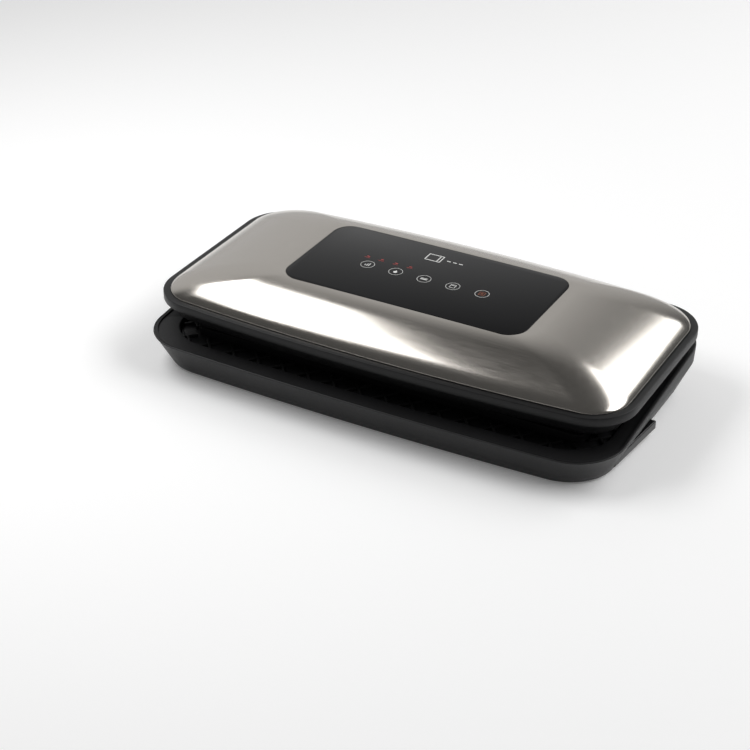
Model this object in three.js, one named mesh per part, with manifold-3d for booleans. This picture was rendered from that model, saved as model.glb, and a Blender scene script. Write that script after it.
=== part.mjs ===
// External vacuum sealer: a shallow tray-shaped base with a sealing bar, a vacuum channel and a pump,
// under a hinged lid with a domed steel cover and a flat touch panel.
// Millimetres. X runs along the length, Y to the back, Z up. The floor is z = 0 and the origin is under
// the middle of the machine.

import * as THREE from "three";
import { mergeVertices } from "three/addons/utils/BufferGeometryUtils.js";
import Module from "manifold-3d";

const wasm = await Module();
wasm.setup();

// ---- Driving dimensions ----

const gap = 0.3; // between neighbouring pieces
const runningGap = 0.06; // around a pin that turns, on the radius
const wall = 2.4; // moulded plastic
const cornerSteps = 4; // straight pieces in each bowed edge; a quarter turn has twice as many

// Overall
const baseLength = 381.6;
const baseDepth = 210.4;
const halfLength = baseLength / 2;
const halfDepth = baseDepth / 2;
const beyond = 10; // how far a cutting block reaches past the walls

// Steel cover, at its lower edge
const coverSetIn = 4.8; // from each end of the base
const coverLength = baseLength - 2 * coverSetIn;
const coverDepth = 168.8;
const coverRadius = 30;
const longEdgeBow = 6.3; // the front and back edges bow out by this much in the middle
const coverRise = 22.4;
const coverWall = 0.9;
const endSlopeRun = 80; // how far each end's slope reaches in
const longSlopeRun = 42; // how far the front and back slopes reach in
const domeRoundness = 1.6; // exponents of the slope's rounded section
const domeCrown = 1.45;

// Touch panel
const panelLength = 196.4;
const panelDepth = 97.1;
const panelRadius = 14.9;
const panelThickness = 2;

// Lid frame and lining
const lidSetBack = 7.2; // the lid's middle lies this far behind the base's
const bandOutset = 5.5;
const bandBottom = 45.1;
const bandHeight = 6.8;
const skirtInset = 11; // from the band's outer face to the lining's skirt
const skirtBottom = 32.5;
const ceilingHeight = 36; // the lid's flat underside

// Base
const baseRadius = 38.6;
const baseBow = 3.4;
const baseBottom = 1.5;
const wallInset = 10.5; // the walls lean in by this much at the bottom
const rimFront = 26.3;
const rimBack = 38.5;
const rimLow = -48; // the rim starts to rise here
const rimHigh = 90; // and is level again from here
const rimWidth = 3;
const lipHeight = 24;
const lipInsetX = 14;
const lipInsetY = 17;
const trayFloor = 19;
const footHeight = 3;
const footRadius = 7;
const coverPlateBottom = 1.8;
const coverPlateTop = 4.2;

// Platform that carries the sealing bar, the gasket and the channel
const sideTray = 30.8; // from each end of the base to the platform
const platformHalfLength = halfLength - sideTray;
const platformFront = -64.8;
const platformBack = 12;
const platformTop = 25.5;
const deckHalfLength = platformHalfLength - 3;
const deckFront = 14;
const deckBack = 81.5;
const deckTop = 33;

const barHalfLength = platformHalfLength - 8;
const barY = -51;
const barWidth = 10;
const barFloor = 17;
const barTop = 28;
const tapeHalfLength = barHalfLength + 2;
const tapeThickness = 0.3;
const stripWidth = 3.4;

const channelHalfLength = platformHalfLength - 14;
const channelFront = -35.5;
const channelBack = -4.5;
const channelFloor = 12;
const gasketHalfLength = platformHalfLength - 3;
const gasketFront = -43.7;
const gasketBack = 3.7;
const gasketWidth = 7;
const gasketSeat = 23;
const sealPlane = 29.75; // the two gaskets meet here

// Hinge
const hingeX = 120;
const hingeY = 97.7;
const hingeZ = 39.5;
const hingePinRadius = 2;
const barrelRadius = 5.2;
const barrelLength = 11.2;
const earThickness = 5;
const notchHalfLength = platformHalfLength + 5;
const notchFront = 84;
const notchFloor = 31.5;

// Release levers
const leverBottom = 4.6;
const leverTop = 11.5;
const leverFront = -59.8;
const leverBack = 1.2;
const leverInner = halfLength - 16.8;
const leverOuterFront = leverInner + 8.6;
const leverOuterBack = leverInner + 14.8;
const leverPivotX = leverInner + 3.6;
const leverPivotY = -54;
const leverPinRadius = 1.5;
const catchX = leverInner - 4.5;
const catchThickness = 3;
const catchFront = -17.8;
const catchBack = -7.8;
const catchBottom = 6;

// Pump, power supply and inlet
const motorRadius = 12;
const motorLength = 32;
const motorX = 66;
const pumpY = 48;
const strapThickness = 1.2;
const pumpClearance = 0.4; // from the strap over the motor to the deck
const pumpZ = deckTop - wall - pumpClearance - strapThickness - motorRadius;
const shaftRadius = 1.5;
const headSize = 24;
const headX = 34;
const hoseRadius = 2.3;
const hoseHeight = (coverPlateTop + channelFloor - wall) / 2; // half-way between the cover and the channel
const boardThickness = 1.6;
const inletX = -120;
const inletZ = 13.5;
const inletWidth = 24;
const inletHeight = 12;

// ---- Solids: three.js shapes, joined and cut ----

function solidOf(geometry) {
  const bare = new THREE.BufferGeometry();
  const source = geometry.index ? geometry.toNonIndexed() : geometry;
  bare.setAttribute("position", source.getAttribute("position"));
  const merged = mergeVertices(bare, 1e-4);
  return new wasm.Manifold(
    new wasm.Mesh({
      numProp: 3,
      vertProperties: merged.attributes.position.array,
      triVerts: new Uint32Array(merged.index.array),
    }),
  );
}

function geometryOf(solid) {
  const mesh = solid.getMesh();
  const geometry = new THREE.BufferGeometry();
  geometry.setAttribute("position", new THREE.BufferAttribute(mesh.vertProperties, 3));
  geometry.setIndex(new THREE.BufferAttribute(mesh.triVerts, 1));
  geometry.computeVertexNormals();
  return geometry;
}

function join(first, ...others) {
  return others.reduce((whole, other) => whole.add(other), first);
}

function cut(first, ...others) {
  return others.reduce((whole, other) => whole.subtract(other), first);
}

function box(x0, x1, y0, y1, z0, z1) {
  const geometry = new THREE.BoxGeometry(x1 - x0, y1 - y0, z1 - z0);
  geometry.translate((x0 + x1) / 2, (y0 + y1) / 2, (z0 + z1) / 2);
  return solidOf(geometry);
}

// A round bar along "x", "y" or "z" between two places on that axis.
function bar(axis, radius, from, to, centre, sides = 16) {
  const geometry = new THREE.CylinderGeometry(radius, radius, to - from, sides);
  const middle = (from + to) / 2;
  if (axis === "x") geometry.rotateZ(Math.PI / 2).translate(middle, centre[0], centre[1]);
  if (axis === "y") geometry.translate(centre[0], middle, centre[1]);
  if (axis === "z") geometry.rotateX(Math.PI / 2).translate(centre[0], centre[1], middle);
  return solidOf(geometry);
}

// Rounded rectangle whose long edges may bow out.
function outline(halfLength, halfDepth, radius, bow = 0, centreY = 0) {
  const innerX = halfLength - radius;
  const innerY = halfDepth - bow - radius;
  const shape = new THREE.Shape();
  const front = centreY - innerY - radius;
  const back = centreY + innerY + radius;
  shape.moveTo(-innerX, front);
  shape.quadraticCurveTo(0, front - 2 * bow, innerX, front);
  shape.absarc(innerX, centreY - innerY, radius, -Math.PI / 2, 0, false);
  shape.absarc(innerX, centreY + innerY, radius, 0, Math.PI / 2, false);
  shape.quadraticCurveTo(0, back + 2 * bow, -innerX, back);
  shape.absarc(-innerX, centreY + innerY, radius, Math.PI / 2, Math.PI, false);
  shape.absarc(-innerX, centreY - innerY, radius, Math.PI, Math.PI * 1.5, false);
  return shape;
}

function slab(shape, z0, z1, steps = 1, shapeVertex = null, curveSegments = cornerSteps) {
  const options = { depth: z1 - z0, steps, bevelEnabled: false, curveSegments };
  const geometry = new THREE.ExtrudeGeometry(shape, options);
  geometry.translate(0, 0, z0);
  if (shapeVertex) {
    const position = geometry.attributes.position;
    const vertex = new THREE.Vector3();
    for (let i = 0; i < position.count; i += 1) {
      shapeVertex(vertex.fromBufferAttribute(position, i));
      position.setXYZ(i, vertex.x, vertex.y, vertex.z);
    }
  }
  return solidOf(geometry);
}

function plate(halfLength, front, back, radius, z0, z1) {
  const shape = outline(halfLength, (back - front) / 2, radius, 0, (front + back) / 2);
  return slab(shape, z0, z1, 1, null, 2);
}

function polygon(points, z0, z1) {
  return slab(new THREE.Shape(points.map(([x, y]) => new THREE.Vector2(x, y))), z0, z1);
}

function mirrored(solid) {
  return solid.mirror([1, 0, 0]);
}

function tube(points, radius, steps, sides) {
  const section = new THREE.Shape();
  section.absarc(0, 0, radius, 0, Math.PI * 2, false);
  const path = new THREE.CatmullRomCurve3(points.map((point) => new THREE.Vector3(...point)));
  const options = { steps, extrudePath: path, bevelEnabled: false, curveSegments: sides };
  return solidOf(new THREE.ExtrudeGeometry(section, options));
}

// ---- The scene graph ----

const machine = new THREE.Group();
const base = new THREE.Group();
const lid = new THREE.Group();
machine.add(base, lid);

const finishes = {
  blackPlastic: { color: 0x1f1f20, roughness: 0.5, metalness: 0 },
  glossPlastic: { color: 0x151516, roughness: 0.2, metalness: 0 },
  steel: { color: 0xb9b6b2, roughness: 0.32, metalness: 1 },
  panelGlass: { color: 0x242425, roughness: 0.15, metalness: 0 },
  rubber: { color: 0x17171a, roughness: 0.85, metalness: 0 },
  foam: { color: 0x2b2b2e, roughness: 0.95, metalness: 0 },
  silicone: { color: 0x4a4a4c, roughness: 0.6, metalness: 0 },
  tape: { color: 0x6b4a32, roughness: 0.55, metalness: 0 },
  brightMetal: { color: 0xc8c9cb, roughness: 0.3, metalness: 1 },
  zincSteel: { color: 0x9a9c9f, roughness: 0.4, metalness: 1 },
  brass: { color: 0xc09a4d, roughness: 0.35, metalness: 1 },
  circuitBoard: { color: 0x1d5a36, roughness: 0.6, metalness: 0 },
  whitePlastic: { color: 0xd8d6cf, roughness: 0.5, metalness: 0 },
  copperWinding: { color: 0xa3603a, roughness: 0.5, metalness: 0.6 },
};

function addPiece(group, name, solid, finish) {
  const mesh = new THREE.Mesh(geometryOf(solid), new THREE.MeshStandardMaterial(finishes[finish]));
  mesh.name = name;
  group.add(mesh);
  return mesh;
}

// A second copy of a piece, moved from where the first one was modelled.
function addCopy(group, name, first, x, y, z = 0) {
  const mesh = new THREE.Mesh(first.geometry, first.material.clone());
  mesh.name = name;
  mesh.position.set(x, y, z);
  group.add(mesh);
}

// ---- Base ----

function rimHeight(y) {
  const share = THREE.MathUtils.clamp((y - rimLow) / (rimHigh - rimLow), 0, 1);
  return rimFront + (rimBack - rimFront) * share;
}

function drawIn(vertex, insetX, insetY) {
  vertex.x *= 1 - insetX / halfLength;
  vertex.y *= 1 - insetY / halfDepth;
}

// Walls that lean in to the bottom, set in by an even distance, up to a level or up to the rim.
function baseVolume(inset, z0, top) {
  const steps = top === "rim" ? 3 : 1;
  return slab(outline(halfLength, halfDepth, baseRadius, baseBow), 0, 1, steps, (vertex) => {
    const roof = top === "rim" ? rimHeight(vertex.y) : top;
    const z = z0 + (roof - z0) * vertex.z;
    const lean = (wallInset * (rimFront - z)) / (rimFront - baseBottom);
    const shift = inset + Math.max(lean, 0);
    drawIn(vertex, shift, shift);
    vertex.z = z;
  });
}

// The hollow above the lip: narrow at the lip, wide at the rim, open above.
function lipHollow() {
  const aboveAll = 60;
  return slab(outline(halfLength, halfDepth, baseRadius, baseBow), 0, 2, 2, (vertex) => {
    const level = Math.round(vertex.z);
    const rim = rimHeight(vertex.y);
    drawIn(vertex, level === 0 ? lipInsetX : rimWidth, level === 0 ? lipInsetY : rimWidth);
    vertex.z = [lipHeight, rim, aboveAll][level];
  });
}

function trayHollow() {
  const step = 1.5;
  const trayBack = 70;
  const lengthInset = lipInsetX + step;
  const depthInset = lipInsetY + step;
  const whole = slab(outline(halfLength, halfDepth, baseRadius, baseBow), 0, 1, 1, (vertex) => {
    drawIn(vertex, lengthInset, depthInset);
    vertex.z = vertex.z < 0.5 ? trayFloor : platformTop;
  });
  const wide = box(-halfLength, halfLength, -halfDepth, trayBack, trayFloor, platformTop);
  return cut(whole.intersect(wide), platform());
}

function platform() {
  const low = plate(platformHalfLength, platformFront, platformBack, 8, trayFloor, platformTop);
  const neck = box(-deckHalfLength, deckHalfLength, platformBack - 8, deckFront + 8, trayFloor, platformTop);
  const deck = plate(deckHalfLength, deckFront, deckBack, 8, trayFloor, deckTop);
  return join(low, neck, deck);
}

// Crossed ribs on the tray floor, which keep the bag off it.
function crossedRibs() {
  const armLength = 21;
  const armWidth = 1.8;
  const armHeight = 2.4;
  const pitch = 21.5;
  const perSide = 7; // crosses along each half of the front
  const frontY = -76;
  const sideX = platformHalfLength + 7.6;
  const cornerX = platformHalfLength + 1;
  const cornerY = -73.5;
  const sideRows = [-53, -33, 22, 43];
  const places = [];
  for (let i = 0; i < perSide; i += 1) {
    const x = (i + 0.5) * pitch;
    places.push([x, frontY, 1], [-x, frontY, 1]);
  }
  places.push([cornerX, cornerY, 0.8], [-cornerX, cornerY, 0.8]);
  for (const y of sideRows) places.push([sideX, y, 0.6], [-sideX, y, 0.6]);
  const arms = places.flatMap(([x, y, reach]) =>
    [-1, 1].map((side) => {
      const geometry = new THREE.BoxGeometry(armLength * (reach + 1) * 0.5, armWidth, armHeight + gap);
      geometry.rotateZ(side * (reach < 1 ? 0.75 : 0.87));
      geometry.translate(x, y, trayFloor + (armHeight - gap) / 2);
      return solidOf(geometry);
    }),
  );
  return arms;
}

function hingeEars() {
  const ears = [];
  for (const side of [-1, 1])
    for (const end of [-1, 1]) {
      const near = barrelLength / 2 + 0.4;
      const from = side * hingeX + (end > 0 ? near : -near - earThickness);
      const to = from + earThickness;
      const post = box(from, to, hingeY - barrelRadius, hingeY + barrelRadius, lipHeight, hingeZ);
      const round = bar("x", barrelRadius, from, to, [hingeY, hingeZ]);
      const hole = bar("x", hingePinRadius + 0.15, from - 1, to + 1, [hingeY, hingeZ]);
      ears.push(cut(join(post, round), hole));
    }
  return ears;
}

function gasketRing(clearance, z0, z1) {
  const front = gasketFront - clearance;
  const back = gasketBack + clearance;
  const outer = plate(gasketHalfLength + clearance, front, back, 9, z0, z1);
  const inset = gasketWidth + clearance;
  const inner = plate(gasketHalfLength - inset, gasketFront + inset, gasketBack - inset, 4, z0 - 1, z1 + 1);
  return cut(outer, inner);
}

const screwPlaces = [
  [-140, -78],
  [140, -78],
  [-162, 76],
  [162, 76],
];
const footPlaces = {
  front_left: [-150, -70],
  front_right: [150, -70],
  back_left: [-150, 62],
  back_right: [150, 62],
};
const screwRadius = 1.5;
const nozzleX = 34;
const nozzleY = -14;
const switchX = 100;
const switchY = 28;
const plungerRadius = 2.2;

function baseShell() {
  const underTray = trayFloor - wall;
  let shell = cut(baseVolume(0, baseBottom, "rim"), lipHollow());
  shell = join(cut(shell, trayHollow()), cut(platform(), box(-halfLength, halfLength, -halfDepth, halfDepth, 0, lipHeight - 1)));
  shell = join(shell, ...crossedRibs());
  // Space inside, open at the bottom
  const below = baseBottom - 1;
  const inside = baseVolume(wall, below, channelFloor - wall);
  const frontBay = baseVolume(wall, below, barFloor - wall).intersect(
    box(-halfLength, halfLength, -halfDepth, channelFront - wall, below, barFloor - wall),
  );
  const sides = [-1, 1].map((side) => {
    const near = side * (channelHalfLength + wall);
    const far = side * (halfLength + beyond);
    const reach = box(Math.min(near, far), Math.max(near, far), -88, 86, below, underTray);
    return baseVolume(wall, below, underTray).intersect(reach);
  });
  const bayHalf = deckHalfLength - wall;
  const pumpBay = box(-bayHalf, bayHalf, deckFront + wall, deckBack - wall, below, deckTop - wall);
  shell = cut(shell, inside, frontBay, ...sides, pumpBay);
  // Seats in the top
  const channel = plate(channelHalfLength, channelFront, channelBack, 6, channelFloor, deckTop);
  const barFront = barY - barWidth / 2;
  const barSlot = box(-barHalfLength, barHalfLength, barFront, barFront + barWidth, barFloor, deckTop);
  shell = cut(shell, channel, barSlot, gasketRing(gap, gasketSeat, platformTop + 1));
  shell = cut(shell, bar("z", 3.3, channelFloor - wall - 1, channelFloor + 1, [nozzleX, nozzleY]));
  shell = cut(shell, bar("z", plungerRadius + gap, deckTop - 5, deckTop + 1, [switchX, switchY]));
  // Hinge
  const notch = box(-notchHalfLength, notchHalfLength, notchFront, halfDepth + 5, notchFloor, 60);
  shell = join(cut(shell, notch), ...hingeEars());
  // Slots for the catches and windows for the levers
  for (const side of [-1, 1]) {
    const slotIn = side * (catchX - 5.5);
    const slotOut = side * (catchX + 3);
    const [x0, x1] = [Math.min(slotIn, slotOut), Math.max(slotIn, slotOut)];
    const slot = box(x0, x1, catchFront - 4, catchBack + 1, underTray - 1, platformTop);
    const outside = halfLength + beyond;
    const [w0, w1] = side > 0 ? [leverInner - 4, outside] : [-outside, -leverInner + 4];
    const window = box(w0, w1, leverFront - 0.6, leverBack + 0.6, leverBottom - gap, leverTop + gap);
    shell = cut(shell, slot, window);
    const place = [side * leverPivotX, leverPivotY];
    const boss = bar("z", 4, leverTop + gap, underTray + 1, place);
    shell = cut(join(shell, boss), bar("z", leverPinRadius + 0.15, leverTop - 1, underTray - gap, place));
  }
  // Opening for the inlet in the back wall
  shell = cut(
    shell,
    box(
      inletX - inletWidth / 2 - gap,
      inletX + inletWidth / 2 + gap,
      deckBack - wall - 1,
      halfDepth + 1,
      inletZ - inletHeight / 2 - gap,
      inletZ + inletHeight / 2 + gap,
    ),
  );
  // Screw posts
  const posts = screwPlaces.map((place) => bar("z", 3.6, 4.6, 14.6 + wall, place));
  const bores = screwPlaces.map((place) => bar("z", screwRadius + 0.2, 4, 14, place, 12));
  return cut(join(shell, ...posts), ...bores);
}

addPiece(base, "base_shell", baseShell(), "blackPlastic");

const bottomCover = baseVolume(wall + 0.6, coverPlateBottom, coverPlateTop);
const footHoles = Object.values(footPlaces).map((place) => bar("z", footRadius + gap, 0, 3.4, place));
const screwHoles = screwPlaces.map((place) =>
  join(bar("z", 3.4, 0, 3.2, place), bar("z", screwRadius + 0.3, 0, 6, place)),
);
const ventCount = 6;
const vents = Array.from({ length: ventCount }, (_, i) => box(40 + i * 8, 44 + i * 8, 30, 66, 0, 6));
addPiece(base, "bottom_cover", cut(bottomCover, ...footHoles, ...screwHoles, ...vents), "blackPlastic");

const foot = new THREE.LatheGeometry(
  [
    [0, 0],
    [footRadius - 1, 0],
    [footRadius, 0.8],
    [footRadius, footHeight],
    [0, footHeight],
  ].map(([r, z]) => new THREE.Vector2(r, z)),
  24,
);
foot.rotateX(Math.PI / 2);
for (const [place, [x, y]] of Object.entries(footPlaces)) {
  const mesh = new THREE.Mesh(geometryOf(solidOf(foot)), new THREE.MeshStandardMaterial(finishes.rubber));
  mesh.name = `foot_${place}`;
  mesh.position.set(x, y, 0);
  base.add(mesh);
}

const bottomScrew = join(bar("z", 3, 1.9, 2.9, [0, 0], 20), bar("z", screwRadius, 2.5, 13.4, [0, 0], 12));
const slotted = cut(bottomScrew, box(-2, 2, -0.4, 0.4, 1.5, 2.4), box(-0.4, 0.4, -2, 2, 1.5, 2.4));
screwPlaces.forEach(([x, y], i) => {
  const mesh = addPiece(base, `base_screw_${i + 1}`, slotted, "zincSteel");
  mesh.position.set(x, y, 0);
});

addPiece(base, "lower_gasket", gasketRing(0, gasketSeat + gap, sealPlane - gap / 2), "foam");

const barHalfWidth = barWidth / 2 - gap;
const stripBed = barTop - 1;
const barReach = barHalfLength - gap;
const bedHalf = stripWidth / 2 + gap;
const sealBar = cut(
  box(-barReach, barReach, barY - barHalfWidth, barY + barHalfWidth, barFloor + gap, barTop),
  box(-barHalfLength, barHalfLength, barY - bedHalf, barY + bedHalf, stripBed, barTop + 1),
);
addPiece(base, "seal_bar", sealBar, "blackPlastic");
const stripReach = barHalfLength - 2;
const stripHalf = stripWidth / 2;
addPiece(
  base,
  "heating_strip",
  box(-stripReach, stripReach, barY - stripHalf, barY + stripHalf, stripBed + gap, stripBed + 0.9),
  "brightMetal",
);
const tapeBottom = barTop + gap;
addPiece(
  base,
  "ptfe_tape",
  box(-tapeHalfLength, tapeHalfLength, barY - 4.6, barY + 4.6, tapeBottom, tapeBottom + tapeThickness),
  "tape",
);

// Pump: a motor lying along X turns an eccentric weight inside the pump head
const motorBack = motorX + motorLength / 2;
const motorFront = motorX - motorLength / 2;
const motor = cut(
  join(
    bar("x", motorRadius, motorFront, motorBack, [pumpY, pumpZ]),
    bar("x", 4, motorBack - 1, motorBack + 2, [pumpY, pumpZ]),
  ),
  bar("x", shaftRadius + runningGap, motorFront - 1, motorBack - 4, [pumpY, pumpZ]),
);
addPiece(base, "pump_motor", motor, "zincSteel");

const headHalf = headSize / 2;
const headBack = motorFront - gap;
const headFront = headBack - headSize;
const weightRadius = 6;
const pumpHead = cut(
  box(headFront, headBack, pumpY - headHalf, pumpY + headHalf, pumpZ - headHalf, pumpZ + headHalf),
  bar("x", weightRadius + 3, headBack - 12, headBack + 1, [pumpY, pumpZ]),
);
const port = bar("y", 2.2, pumpY - headHalf - 5, pumpY - headHalf + 1, [headX, pumpZ]);
addPiece(base, "pump_head", join(pumpHead, port), "blackPlastic");

const rotor = join(
  bar("x", shaftRadius, headBack - 9, motorBack - 5, [pumpY, pumpZ]),
  bar("x", weightRadius, headBack - 8, headBack - 2.5, [pumpY + 1.4, pumpZ], 24),
);
addPiece(base, "pump_rotor", rotor, "brass");

const bracketX = motorX + 6;
const bracketHalf = motorRadius + 2.4;
const bracketTop = pumpZ + motorRadius + strapThickness;
const bracketBottom = coverPlateTop + gap;
const bracket = cut(
  join(
    box(bracketX - 4, bracketX + 4, pumpY - bracketHalf, pumpY + bracketHalf, bracketBottom, bracketTop),
    box(bracketX - 4, bracketX + 4, pumpY - 24, pumpY + 24, bracketBottom, bracketBottom + 1.7),
  ),
  bar("x", motorRadius + gap, bracketX - 6, bracketX + 6, [pumpY, pumpZ]),
);
addPiece(base, "pump_bracket", bracket, "zincSteel");

const nozzleTop = channelFloor + 5;
const nozzleBottom = 5.4;
const nozzle = cut(
  join(
    bar("z", 3, nozzleBottom, nozzleTop, [nozzleX, nozzleY]),
    bar("z", 5, channelFloor + gap, channelFloor + 1.6, [nozzleX, nozzleY]),
  ),
  bar("z", 1.4, nozzleBottom + 2, nozzleTop + 1, [nozzleX, nozzleY], 12),
);
addPiece(base, "suction_nozzle", nozzle, "blackPlastic");

const portEnd = pumpY - headHalf - 5 - gap;
const hose = tube(
  [
    [headX, portEnd, pumpZ],
    [headX, portEnd - 4, pumpZ - 0.6],
    [headX, portEnd - 8.7, 11],
    [headX, portEnd - 11.7, 7.8],
    [headX, 14, hoseHeight],
    [headX, 0, hoseHeight],
    [nozzleX, nozzleY + 3 + gap, hoseHeight],
  ],
  hoseRadius,
  20,
  4,
);
addPiece(base, "suction_hose", hose, "silicone");

// Power supply
const boardBottom = 8;
const boardTop = boardBottom + boardThickness;
const board = box(-118, -14, 22, 72, boardBottom, boardTop);
const boardFeet = [
  [-113, 27],
  [-19, 27],
  [-113, 67],
  [-19, 67],
].map((place) => bar("z", 3, coverPlateTop + gap, boardBottom + 0.5, place, 12));
const capacitors = [
  [-34, 60, 5, 15],
  [-34, 46, 4, 11],
  [-34, 34, 4, 11],
].map(([x, y, radius, height]) => bar("z", radius, boardTop - 0.5, boardTop + height, [x, y]));
const relay = box(-112, -94, 26, 42, boardTop - 0.5, boardTop + 14);
const heatSink = box(-20, -17, 28, 60, boardTop - 0.5, boardTop + 16);
addPiece(base, "power_board", join(board, ...boardFeet, ...capacitors, relay, heatSink), "circuitBoard");

const coreBottom = boardTop + gap;
const core = join(
  box(-84, -48, 32, 62, coreBottom, coreBottom + 5),
  box(-84, -48, 32, 62, coreBottom + 13, coreBottom + 18),
  box(-84, -48, 38, 56, coreBottom, coreBottom + 18),
  box(-80, -52, 35, 59, coreBottom + 4, coreBottom + 14),
);
addPiece(base, "transformer", core, "copperWinding");

// Lid switch with its sprung plunger
const switchBody = join(
  box(switchX - 7, switchX + 7, switchY - 5, switchY + 5, 14, 25),
  box(switchX - 2, switchX + 2, switchY - 2, switchY + 2, coverPlateTop + gap, 15),
);
addPiece(base, "lid_switch", switchBody, "blackPlastic");
const plungerRest = ceilingHeight - gap;
const plunger = join(
  bar("z", plungerRadius, 28.6, plungerRest, [switchX, switchY]),
  bar("z", plungerRadius + 1.2, 28.2, 29.6, [switchX, switchY]),
);
addPiece(base, "switch_plunger", plunger, "whitePlastic");

// Appliance inlet in the back wall
const inletFront = deckBack - wall - 4;
const inletBack = 100.4;
const inletDepth = 13;
const inletCavity = box(
  inletX - inletWidth / 2 + 2.6,
  inletX + inletWidth / 2 - 2.6,
  inletBack - inletDepth,
  inletBack + 1,
  inletZ - inletHeight / 2 + 1.8,
  inletZ + inletHeight / 2 - 1.8,
);
const pinOffset = 4.3;
const pinRadius = 1.15;
const pinHoles = [-1, 1].map((side) =>
  bar("y", pinRadius + gap, inletFront - 1, inletBack - 2, [inletX + side * pinOffset, inletZ], 12),
);
const inletBody = box(
  inletX - inletWidth / 2,
  inletX + inletWidth / 2,
  inletFront,
  inletBack,
  inletZ - inletHeight / 2,
  inletZ + inletHeight / 2,
);
addPiece(base, "power_inlet", cut(inletBody, inletCavity, ...pinHoles), "blackPlastic");
const inletPin = bar("y", pinRadius, inletFront - 3, inletBack - 6, [0, inletZ], 12);
const leftPin = addPiece(base, "inlet_pin_left", inletPin, "brightMetal");
leftPin.position.x = inletX - pinOffset;
addCopy(base, "inlet_pin_right", leftPin, inletX + pinOffset, 0);

// Hinge pins
const pinReach = barrelLength / 2 + 0.4 + earThickness + 0.6;
const hingePin = bar("x", hingePinRadius, -pinReach, pinReach, [hingeY, hingeZ]);
const rightHinge = addPiece(base, "hinge_pin_right", hingePin, "zincSteel");
rightHinge.position.x = hingeX;
addCopy(base, "hinge_pin_left", rightHinge, -hingeX, 0);

// ---- Release levers: each turns about an upright pin, and its rear end is pressed in ----

function releaseLever() {
  const hookTip = catchX - catchThickness / 2 - 2.5 - gap;
  const hookRoot = hookTip - 4.5;
  const armFront = catchBack + 2;
  const armBack = armFront + 5;
  const hookFront = catchFront + 1;
  const handle = polygon(
    [
      [leverInner, leverFront],
      [leverOuterFront, leverFront],
      [leverOuterBack, leverBack],
      [leverInner, leverBack],
    ],
    leverBottom,
    leverTop,
  );
  const arm = box(hookRoot, leverInner + 1, armFront, armBack, leverBottom, leverTop);
  const hook = box(hookRoot, hookTip, hookFront, armFront + 1, catchBottom + 2, leverTop);
  const pivot = [leverPivotX, leverPivotY];
  const bore = bar("z", leverPinRadius + runningGap, leverBottom - 1, leverTop + 1, pivot);
  return cut(join(handle, arm, hook), bore);
}

const leverPin = bar("z", leverPinRadius, leverBottom - gap + 0.2, trayFloor - wall - 2 * gap, [0, 0]);
for (const [side, name] of [
  [1, "right"],
  [-1, "left"],
]) {
  const lever = new THREE.Group();
  machine.add(lever);
  const shape = side > 0 ? releaseLever() : mirrored(releaseLever());
  addPiece(lever, `release_lever_${name}`, shape, "glossPlastic");
  const pin = addPiece(base, `lever_pin_${name}`, leverPin, "zincSteel");
  pin.position.set(side * leverPivotX, leverPivotY, 0);
}

// ---- Lid ----

const bandHalfLength = coverLength / 2 + bandOutset;
const bandHalfDepth = coverDepth / 2 + longEdgeBow + bandOutset;
const bandRadius = coverRadius + bandOutset;
const bandTop = bandBottom + bandHeight;

function lidOutline(inset) {
  const radius = Math.max(bandRadius - inset, 6);
  return outline(bandHalfLength - inset, bandHalfDepth - inset, radius, longEdgeBow, lidSetBack);
}

function lidFrame() {
  const flange = 2.4;
  const chamfer = 0.7;
  const outer = slab(lidOutline(0), 0, 3, 3, (vertex) => {
    const level = Math.round(vertex.z);
    const drawn = level === 0 || level === 3 ? chamfer : 0;
    vertex.x *= 1 - drawn / bandHalfLength;
    vertex.y = lidSetBack + (vertex.y - lidSetBack) * (1 - drawn / bandHalfDepth);
    vertex.z = [bandBottom, bandBottom + chamfer, bandTop - chamfer, bandTop][level];
  });
  const opening = slab(lidOutline(bandOutset + 14), bandBottom - 1, bandTop + 1);
  const shelf = slab(lidOutline(bandOutset + 3), bandBottom + flange, bandTop + 1);
  return cut(outer, opening, shelf);
}

addPiece(lid, "lid_frame", lidFrame(), "blackPlastic");

// The cover's outer surface at a share of its slope, drawn in by a wall thickness.
function dome(thickness, top) {
  const steps = 7;
  const halfX = coverLength / 2 - thickness;
  const halfY = coverDepth / 2 + longEdgeBow - thickness;
  const shape = outline(halfX, halfY, coverRadius - thickness, longEdgeBow, 0);
  return slab(shape, 0, 1, steps, (vertex) => {
    const angle = (vertex.z * Math.PI) / 2;
    const inward = 1 - Math.cos(angle) ** (2 / domeRoundness);
    vertex.x *= 1 - (endSlopeRun * inward) / halfX;
    vertex.y = lidSetBack + vertex.y * (1 - (longSlopeRun * inward) / halfY);
    vertex.z = bandTop + gap + top * Math.sin(angle) ** (2 / domeCrown);
  });
}

const coverTop = bandTop + gap + coverRise;
const lidMiddle = lidSetBack;
const panelHalf = panelDepth / 2;

function steelCover() {
  const inner = join(
    dome(coverWall, coverRise - coverWall),
    slab(outline(coverLength / 2 - coverWall, 80, 30, 0, lidMiddle), bandTop, bandTop + gap + 0.2),
  );
  const opening = outline(panelLength / 2 + gap, panelHalf + gap, panelRadius + gap, 0, lidMiddle);
  return cut(dome(0, coverRise), inner, slab(opening, coverTop - 12, coverTop + 5));
}

addPiece(lid, "steel_cover", steelCover(), "steel");

const panelShape = outline(panelLength / 2, panelHalf, panelRadius, 0, lidMiddle);
addPiece(lid, "touch_panel", slab(panelShape, coverTop - panelThickness, coverTop), "panelGlass");

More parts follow.
